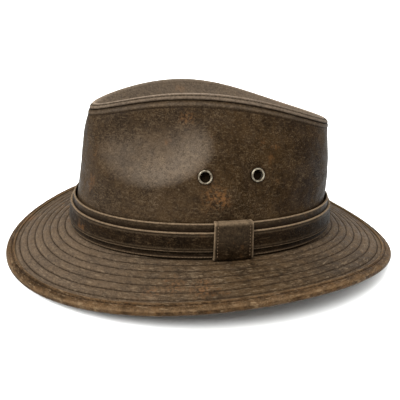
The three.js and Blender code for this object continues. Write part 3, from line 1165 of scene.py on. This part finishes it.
# %% [markdown]
# ## The painted shade behind the eyelets
# Only the shade inside the hat shows through the eyelets, so a round scrap of dark cloth is stuck
# over each one on the inside as painted shade. It is a flat disc, divided into rings, and laid on
# the inner face of the wall with its middle lifted over the end of the barrel. A pattern of tiny
# cells stands for the weave.

# %% Backing cloth as painted shade
PATCH_RADIUS = 8.0
PATCH_SIDES = 32
PATCH_RINGS = 5
PATCH_THICKNESS = 0.4
PATCH_GAP = 0.05
PATCH_LIFT = 1.5
PATCH_LIFT_REACH = 5.5
# Painted shade: the colours of the dark discs behind the eyelets.
SHADE_CLOTH_DARK = (0.003, 0.0018, 0.0008)
SHADE_CLOTH_LIGHT = (0.009, 0.0055, 0.0026)
SHADE_CLOTH_WEAVE_SCALE = 1600.0
SHADE_CLOTH_ROUGHNESS = 0.95

shade_cloth, shade_cloth_tree, shade_cloth_shader, shade_cloth_spot = new_material("painted_shade_cloth")
shade_cloth_inputs = {"Vector": shade_cloth_spot, "Scale": SHADE_CLOTH_WEAVE_SCALE}
shade_cloth_weave = add_node(shade_cloth_tree, "ShaderNodeTexVoronoi", shade_cloth_inputs).outputs["Distance"]
shade_cloth_tone = blend_colours(shade_cloth_tree, shade_cloth_weave, opaque(SHADE_CLOTH_DARK), opaque(SHADE_CLOTH_LIGHT))
shade_cloth_tree.links.new(shade_cloth_tone, shade_cloth_shader.inputs["Base Color"])
shade_cloth_shader.inputs["Roughness"].default_value = SHADE_CLOTH_ROUGHNESS
shade_cloth_shader.inputs["Specular IOR Level"].default_value = LEATHER_SPECULAR

patch_bm = bmesh.new()
for name, degrees, level in EYELET_PLACES:
    disc_bm = bmesh.new()
    bmesh.ops.create_circle(disc_bm, cap_ends=True, segments=PATCH_SIDES, radius=PATCH_RADIUS)
    for ring in range(PATCH_RINGS):
        inner = [face for face in disc_bm.faces if len(face.verts) > 4]
        bmesh.ops.inset_region(disc_bm, faces=inner, thickness=PATCH_RADIUS / (PATCH_RINGS + 1))
    for vert in disc_bm.verts:
        side, rise, _ = vert.co
        lift = PATCH_GAP + PATCH_LIFT * bell(math.hypot(side, rise), PATCH_LIFT_REACH)
        angle = math.radians(degrees) + side / HEAD_HALF_LENGTH
        vert.co = crown_point(angle, -CROWN_THICKNESS - lift, level + rise)
    bmesh.ops.solidify(disc_bm, geom=disc_bm.faces[:], thickness=PATCH_THICKNESS)
    disc_mesh = bpy.data.meshes.new(name + "_patch")
    disc_bm.to_mesh(disc_mesh)
    disc_bm.free()
    patch_bm.from_mesh(disc_mesh)
    bpy.data.meshes.remove(disc_mesh)
bmesh.ops.recalc_face_normals(patch_bm, faces=patch_bm.faces[:])
for vert in patch_bm.verts:
    vert.co = in_frame(vert.co)
finish_piece("eyelet_painted_shade_cloth", patch_bm, shade_cloth)

# %% [markdown]
# ## The top of the crown
# The top panel is sewn to the wall with the seam turned up, so the panel stands as a rolled rim
# above the seam. The rim's crest is worn pale, and it is painted palest at the front as painted
# light; the panel inside the rim is painted paler as painted light too. A row of stitches runs along
# the rim's middle. Inside the rim the panel falls to a long dent. The outline is drawn from the
# middle to the rim and back underneath, and spun about the hat's own axis.

# %% Crown tip sizes
TIP_THICKNESS = 1.8
RIM_WIDTH = 3.8
RIM_RISE = 3.8
CENTRE = Vector((0.0, 8.0, 77.0))
HOLLOW_POWER = 2.2
CREST = 100.0


def tip_point(angle, across, up):
    """Across is 0 to 100 from the middle to the crest, then millimetres outward over the rim."""
    crest_height = RIM_RISE + GAP
    if across > CREST:
        return seam_point(angle, RIM_WIDTH - (across - CREST), crest_height + up)
    share = across / CREST
    crest = seam_point(angle, RIM_WIDTH, crest_height)
    point = CENTRE.lerp(crest, share)
    point.z = CENTRE.z + (crest.z - CENTRE.z) * share**HOLLOW_POWER + up
    return point


def tip_chain():
    """From the middle of the upper face, over the rim, to the middle of the lower face."""
    shares = [0.0, 12.0, 24.0, 36.0, 48.0, 58.0, 66.0, 73.0, 79.0, 84.0, 88.0]
    shares += [90.0 + 0.7 * step for step in range(15)]
    bends = [math.radians(90 - 4.5 * step) for step in range(21)]
    inner = RIM_WIDTH - TIP_THICKNESS
    chain = [(share, 0.0) for share in shares]
    chain += [(CREST + RIM_WIDTH * math.cos(b), RIM_RISE * (math.sin(b) - 1)) for b in bends]
    chain += [(CREST + inner * math.cos(b), inner * math.sin(b) - RIM_RISE) for b in bends[::-4]]
    chain += [(share, -TIP_THICKNESS) for share in shares[::-2]]
    return chain


print("points in the outline of the top:", len(tip_chain()))

# %% Crown tip
TIP_ROUNDS = 320
TIP_UNEVEN_RISE = 0.9
TIP_UNEVEN_SCALE = 2.6
TIP_UNEVEN_LEVEL = 3.0
TIP_UNEVEN_FADE = 10
FOLD_SHARE = 95.5
FOLD_DEPTH = 0.35
FOLD_HALF_WIDTH = 1.4
RIM_STITCH_BEND = 47.0
RIM_STITCH_DEPTH = 0.4
RIM_STITCH_REACH = 9.0
RIM_STITCH_DIRT = 0.7
RIM_STITCH_DIRT_REACH = 7.0
RIM_SWELL = 0.12
RIM_SWELL_BEND = 75
RIM_SWELL_REACH = 14
RIM_FOOT_PAINTED_SHADE = 0.9
RIM_FOOT_PAINTED_SHADE_REACH = 8.0
PANEL_PAINTED_LIGHT = 0.3
PANEL_EDGE_WEAR = 0.5
PANEL_EDGE_WEAR_REACH = 2.2
RIM_WEAR = 0.28
CREST_WEAR = 0.6
CREST_FRONT_PAINTED_LIGHT = 0.9
CREST_FRONT_DEGREES = 25
CREST_WEAR_BEND = 88
CREST_WEAR_REACH = 20
LOW_RIM_WEAR = 0.2
LOW_RIM_BEND = 22
LOW_RIM_REACH = 10


def rim_relief(bend):
    """Relief over the rim, by degrees: 90 is its crest and 0 its foot at the seam."""
    sunk = RIM_STITCH_DEPTH * bell(bend - RIM_STITCH_BEND, RIM_STITCH_REACH)
    return RIM_SWELL * bell(bend - RIM_SWELL_BEND, RIM_SWELL_REACH) - sunk


def panel_relief(angle, across):
    """Relief inside the rim: slow unevenness, and a fold where the panel turns up."""
    scale = TIP_UNEVEN_SCALE * across / CREST
    east, north = math.sin(angle) * scale, math.cos(angle) * scale
    uneven = TIP_UNEVEN_RISE * noise.noise(Vector((east, north, TIP_UNEVEN_LEVEL)))
    fade = min(1.0, (CREST - across) / TIP_UNEVEN_FADE)
    return uneven * fade - FOLD_DEPTH * bell(across - FOLD_SHARE, FOLD_HALF_WIDTH)


def place_panel(angle, across, up):
    point = tip_point(angle, across, up + panel_relief(angle, across))
    # Painted light: the whole panel is painted paler, for the strong light that falls on the top.
    rub_and_painted_light = PANEL_PAINTED_LIGHT + PANEL_EDGE_WEAR * bell(across - CREST, PANEL_EDGE_WEAR_REACH)
    return point, rub_and_painted_light, 0.0


def place_rim(angle, across, up):
    over, rise = across - CREST, up + RIM_RISE
    bend = math.degrees(math.atan2(rise, over))
    reach = math.hypot(over, rise)
    outside = 1.0 if reach > RIM_WIDTH - TIP_THICKNESS / 2 else 0.0
    grown = 1 + outside * rim_relief(bend) / reach
    point = tip_point(angle, CREST + max(over * grown, 0.001), rise * grown - RIM_RISE)
    dirt_and_shade = RIM_STITCH_DIRT * bell(bend - RIM_STITCH_BEND, RIM_STITCH_DIRT_REACH)
    # Painted shade: the rim's foot is painted darker, as the shade in the seam's valley.
    dirt_and_shade += RIM_FOOT_PAINTED_SHADE * bell(bend, RIM_FOOT_PAINTED_SHADE_REACH)
    # Painted light: the crest is painted palest at the front, over its worn paleness.
    crest_wear_and_light = CREST_WEAR + CREST_FRONT_PAINTED_LIGHT * facing(angle, CREST_FRONT_DEGREES)
    rub_and_painted_light = RIM_WEAR + crest_wear_and_light * bell(bend - CREST_WEAR_BEND, CREST_WEAR_REACH)
    rub_and_painted_light += LOW_RIM_WEAR * bell(bend - LOW_RIM_BEND, LOW_RIM_REACH)
    return point, rub_and_painted_light * outside, min(1.0, dirt_and_shade) * outside


def place_tip(angle, across, up):
    place = place_panel if across < CREST else place_rim
    return place(angle, across, up)


tip_bm = spun(tip_chain(), TIP_ROUNDS, 0.0, False)
seat(tip_bm, place_tip, circle=0.0)
finish_piece("crown_tip_leather", tip_bm, crown_leather, "crown_leather", "crown_tip")

# %% Stitches along the crown's seam
def rim_stitch_line(angle, lift):
    bend = math.radians(RIM_STITCH_BEND)
    reach = RIM_WIDTH + rim_relief(RIM_STITCH_BEND) + lift
    return tip_point(angle, CREST + reach * math.cos(bend), reach * math.sin(bend) - RIM_RISE)


def side_stitch_line(angle, lift):
    relief, _ = crown_relief(angle, SIDE_STITCH_LEVEL)
    return crown_point(angle, relief + lift, SIDE_STITCH_LEVEL)


seam_places = []
for seam_line in (rim_stitch_line, side_stitch_line):
    seam_places += stitch_places(seam_line, pitch=2.7, length=2.0, radius=0.24)
sew("crown_seam_stitches", seam_places, dark_thread)

# %% [markdown]
# ## The two bands
# A wide band goes round the foot of the crown, and a narrower, darker one lies on it. Both are strap
# leather, cut and left with raw edges, and years of rubbing have made the edges the lightest lines
# of the hat. On the wide band, the strip just under its top edge is painted lighter as painted
# light, and the strip just over the narrow band is painted darker as painted shade. A narrow bead
# near the wide band's foot is sewn down with tan thread. The outlines are thin boxes with eased
# corners; the rub value marks their edges.

# %% Wide band
BAND_ROUNDS = 300
UNDER_BOTTOM = 1.6
UNDER_TOP = 24.6
UNDER_THICKNESS = 1.2
OVER_BOTTOM = 6.5
OVER_TOP = 19.3
OVER_THICKNESS = 1.5
BAND_EASE = 0.35
BEAD_LEVEL = 2.4
BEAD_RISE = 0.4
BEAD_HALF_WIDTH = 0.9
BEAD_WEAR = 0.45
BEAD_WEAR_REACH = 0.5
BEAD_DIRT = 0.8
BEAD_DIRT_ABOVE = 1.2
BEAD_DIRT_REACH = 0.4
RAW_EDGE = 0.55
RAW_EDGE_SHARPNESS = 9
UNDER_TOP_PAINTED_LIGHT = 0.12
UNDER_TOP_PAINTED_LIGHT_BELOW = 1.6
UNDER_TOP_PAINTED_LIGHT_REACH = 1.6
OVER_TOP_PAINTED_SHADE = 0.75
OVER_TOP_PAINTED_SHADE_ABOVE = 0.9
OVER_TOP_PAINTED_SHADE_REACH = 1.6
under_ripple = ripples(rise=0.12, round_scale=16, along_scale=0.2)


def strap_outline(inner, bottom, outer, top, step):
    """A thin upright box with eased outer corners."""
    ease = BAND_EASE
    return [
        (inner, bottom, 1.0),
        (outer - ease, bottom, ease),
        (outer - 0.3 * ease, bottom + 0.3 * ease, ease),
        (outer, bottom + ease, step),
        (outer, top - ease, ease),
        (outer - 0.3 * ease, top - 0.3 * ease, ease),
        (outer - ease, top, 1.0),
        (inner, top, 3.0),
    ]


def place_under_band(angle, offset, height):
    bead = BEAD_RISE * bell(height - BEAD_LEVEL, BEAD_HALF_WIDTH)
    outside = 1.0 if offset > -0.5 else 0.0
    point = foot_point(angle, offset + outside * (under_ripple(angle, height) + bead), height)
    rub_and_painted_light = max(
        step_up(height - UNDER_TOP + RAW_EDGE, RAW_EDGE_SHARPNESS),
        # Painted light: a strip just under the top edge is painted lighter.
        UNDER_TOP_PAINTED_LIGHT * bell(height - UNDER_TOP + UNDER_TOP_PAINTED_LIGHT_BELOW, UNDER_TOP_PAINTED_LIGHT_REACH),
        BEAD_WEAR * bell(height - BEAD_LEVEL, BEAD_WEAR_REACH),
    )
    dirt_and_shade = BEAD_DIRT * bell(height - BEAD_LEVEL - BEAD_DIRT_ABOVE, BEAD_DIRT_REACH)
    # Painted shade: the strip just above the narrow band is painted darker.
    dirt_and_shade += OVER_TOP_PAINTED_SHADE * bell(height - OVER_TOP - OVER_TOP_PAINTED_SHADE_ABOVE, OVER_TOP_PAINTED_SHADE_REACH)
    return point, rub_and_painted_light, min(1.0, dirt_and_shade) * outside


under_outline = strap_outline(-UNDER_THICKNESS, UNDER_BOTTOM, 0.0, UNDER_TOP, step=0.45)
under_bm = spun_ring(under_outline, BAND_ROUNDS)
seat(under_bm, place_under_band)
finish_piece("under_band_strap", under_bm, band_leather, "band_leather", "under_band")

# %% Narrow band
OVER_LINE_INSET = 1.25
OVER_LINE_DEPTH = 0.18
OVER_LINE_HALF_WIDTH = 0.3
OVER_LINE_DIRT = 0.6
OVER_EDGE_WEAR_REACH = 0.5
OVER_STRIP_WEAR = 0.2
OVER_STRIP_INSET = 2.0
OVER_STRIP_REACH = 0.6
over_ripple = ripples(rise=0.14, round_scale=12, along_scale=0.12, shift=3)


def place_over_band(angle, offset, height):
    """A line is pressed into the face along each edge, and both edges are rubbed."""
    from_edge = min(OVER_TOP - height, height - OVER_BOTTOM)
    outside = 1.0 if offset > 1.0 else 0.0
    line = bell(from_edge - OVER_LINE_INSET, OVER_LINE_HALF_WIDTH)
    relief = over_ripple(angle, height) - OVER_LINE_DEPTH * line
    point = foot_point(angle, offset + outside * relief, height)
    rub_and_painted_light = bell(from_edge, OVER_EDGE_WEAR_REACH)
    rub_and_painted_light += OVER_STRIP_WEAR * bell(from_edge - OVER_STRIP_INSET, OVER_STRIP_REACH)
    return point, min(1.0, rub_and_painted_light), OVER_LINE_DIRT * line * outside


over_outline = strap_outline(GAP, OVER_BOTTOM, GAP + OVER_THICKNESS, OVER_TOP, step=0.4)
over_bm = spun_ring(over_outline, BAND_ROUNDS)
seat(over_bm, place_over_band)
finish_piece("over_band_strap", over_bm, band_leather, "band_leather", "over_band")

# %% Stitches on the bead
BEAD_STITCH_OFFSET = 0.38


def bead_stitch_line(angle, lift):
    return foot_point(angle, BEAD_STITCH_OFFSET + lift, BEAD_LEVEL)


bead_places = stitch_places(bead_stitch_line, pitch=2.1, length=1.5, radius=0.17)
sew("under_band_stitches", bead_places, tan_thread)

# %% [markdown]
# ## The loop
# A keeper loop on the wearer's left holds the bands together. It is one short strap that goes down
# the outside, under both bands, up behind them and over the top, with a row of tan stitches along
# each edge of its face. Its outer face is painted paler the higher it rises from its foot, as
# painted light. The strap starts as a flat bar with eased edges; each of its slices is then put at
# its place along the loop's path, and its two ends are welded where they meet. A curve with a bevel
# would twist in the corners, and it couldn't carry the wear and the painted light.

# %% Path of the loop
LOOP_ANGLE = 85.2
LOOP_WIDTH = 26.8
LOOP_THICKNESS = 1.2
LOOP_CORNER = 1.3
LOOP_CORNER_STEPS = 6
LOOP_BACK_ROOM = 1.0
LOOP_FRONT_ROOM = 1.3
LOOP_FOOT = 0.5
loop_inner = -UNDER_THICKNESS - GAP - LOOP_BACK_ROOM + LOOP_THICKNESS / 2
loop_outer = GAP + OVER_THICKNESS + GAP + LOOP_FRONT_ROOM - LOOP_THICKNESS / 2
loop_bottom = LOOP_FOOT + LOOP_THICKNESS / 2
loop_top = UNDER_TOP + GAP + LOOP_FRONT_ROOM - LOOP_THICKNESS / 2


def loop_path():
    """The strap's middle line, as (offset, height) points down the outside and round."""
    corners = [
        (loop_outer, loop_bottom, 0),
        (loop_inner, loop_bottom, -90),
        (loop_inner, loop_top, -180),
        (loop_outer, loop_top, 90),
    ]
    points = []
    for offset, height, start in corners:
        side = 1 if offset == loop_outer else -1
        rise = 1 if height == loop_top else -1
        middle = (offset - side * LOOP_CORNER, height - rise * LOOP_CORNER)
        for step in range(LOOP_CORNER_STEPS + 1):
            bend = math.radians(start - 90 * step / LOOP_CORNER_STEPS)
            across = middle[0] + LOOP_CORNER * math.cos(bend)
            points.append((across, middle[1] + LOOP_CORNER * math.sin(bend)))
    return points


path = loop_path()
path_lengths = [0.0]
for first, second in zip(path, path[1:] + path[:1]):
    path_lengths.append(path_lengths[-1] + math.dist(first, second))
loop_length = path_lengths[-1]


def on_path(along):
    """Offset, height and outward direction at a length along the loop's path."""
    along = along % loop_length
    index = max(i for i, reached in enumerate(path_lengths[:-1]) if reached <= along)
    first, second = path[index], path[(index + 1) % len(path)]
    share = (along - path_lengths[index]) / (path_lengths[index + 1] - path_lengths[index])
    run = (second[0] - first[0], second[1] - first[1])
    size = math.hypot(*run)
    spot = (first[0] + share * run[0], first[1] + share * run[1])
    return spot, (-run[1] / size, run[0] / size)


def loop_point(along, across, out):
    spot, away = on_path(along)
    angle = math.radians(LOOP_ANGLE) + across / HEAD_HALF_LENGTH
    return foot_point(angle, spot[0] + away[0] * out, spot[1] + away[1] * out)


print("length of the loop's strap, mm:", round(loop_length, 1))

# %% Band loop
LOOP_SLICES = 150
LOOP_CUTS = 25
LOOP_EDGE_EASE = 0.45
LOOP_EASE_STEPS = 3
LOOP_WELD = 0.00005
LOOP_LINE_INSET = 2.5
LOOP_LINE_DEPTH = 0.2
LOOP_LINE_HALF_WIDTH = 0.4
LOOP_LINE_DIRT = 0.5
LOOP_EDGE_WEAR = 0.9
LOOP_EDGE_WEAR_REACH = 0.7
LOOP_TOP_WEAR = 0.55
LOOP_TOP_WEAR_REACH = 1.2
LOOP_FACE_PAINTED_LIGHT = 0.13
LOOP_FACE_PAINTED_LIGHT_FROM = 6
LOOP_FACE_PAINTED_LIGHT_RISE = 10


def spanning(bm, axis, least):
    """The edges that span more than the least length along an axis."""
    return [e for e in bm.edges if abs(e.verts[0].co[axis] - e.verts[1].co[axis]) > least]


def place_loop(along, across, out):
    from_edge = LOOP_WIDTH / 2 - abs(across)
    line = bell(from_edge - LOOP_LINE_INSET, LOOP_LINE_HALF_WIDTH)
    height = on_path(along)[0][1]
    outer_face = 1.0 if out > 0 else 0.0
    risen = clamped((height - LOOP_FACE_PAINTED_LIGHT_FROM) / LOOP_FACE_PAINTED_LIGHT_RISE)
    rub_and_painted_light = LOOP_EDGE_WEAR * bell(from_edge, LOOP_EDGE_WEAR_REACH)
    rub_and_painted_light += LOOP_TOP_WEAR * bell(height - loop_top, LOOP_TOP_WEAR_REACH)
    # Painted light: the outer face is painted paler the higher it rises from its foot.
    rub_and_painted_light += LOOP_FACE_PAINTED_LIGHT * risen * outer_face
    point = loop_point(along, across, out - LOOP_LINE_DEPTH * line * outer_face)
    return point, min(1.0, rub_and_painted_light), LOOP_LINE_DIRT * line * outer_face


loop_bm = bmesh.new()
bmesh.ops.create_cube(loop_bm, size=1.0)
loop_size = (loop_length, LOOP_WIDTH, LOOP_THICKNESS)
bmesh.ops.scale(loop_bm, verts=loop_bm.verts[:], vec=loop_size)
bmesh.ops.bevel(loop_bm, geom=spanning(loop_bm, 0, 1), offset=LOOP_EDGE_EASE,
                segments=LOOP_EASE_STEPS, profile=0.5, affect="EDGES", material=-1)
cross_edges = spanning(loop_bm, 1, LOOP_WIDTH / 2)
bmesh.ops.subdivide_edges(loop_bm, edges=cross_edges, cuts=LOOP_CUTS, use_grid_fill=True)
long_edges = spanning(loop_bm, 0, 1)
bmesh.ops.subdivide_edges(loop_bm, edges=long_edges, cuts=LOOP_SLICES, use_grid_fill=True)
end_faces = [face for face in loop_bm.faces if abs(face.normal.x) > 0.9]
bmesh.ops.delete(loop_bm, geom=end_faces, context="FACES_ONLY")
dress(loop_bm, place_loop)
bmesh.ops.remove_doubles(loop_bm, verts=loop_bm.verts[:], dist=LOOP_WELD)
bmesh.ops.recalc_face_normals(loop_bm, faces=loop_bm.faces[:])
finish_piece("band_loop_strap", loop_bm, band_leather, "band_leather", "band_loop")

# %% Stitches on the loop
LOOP_STITCH_SUNK = 0.15
LOOP_STITCH_END = 0.5
loop_face = loop_top - loop_bottom - 2 * LOOP_CORNER


def loop_stitch_line(side):
    def line(along, lift):
        across = side * (LOOP_WIDTH / 2 - LOOP_LINE_INSET)
        return loop_point(along, across, LOOP_THICKNESS / 2 - LOOP_STITCH_SUNK + lift)
    return line


loop_places = []
for side in (-1, 1):
    loop_places += stitch_places(loop_stitch_line(side), pitch=2.2, length=1.5, radius=0.24,
                                 start=-loop_face, end=-LOOP_STITCH_END)
sew("band_loop_stitches", loop_places, tan_thread)
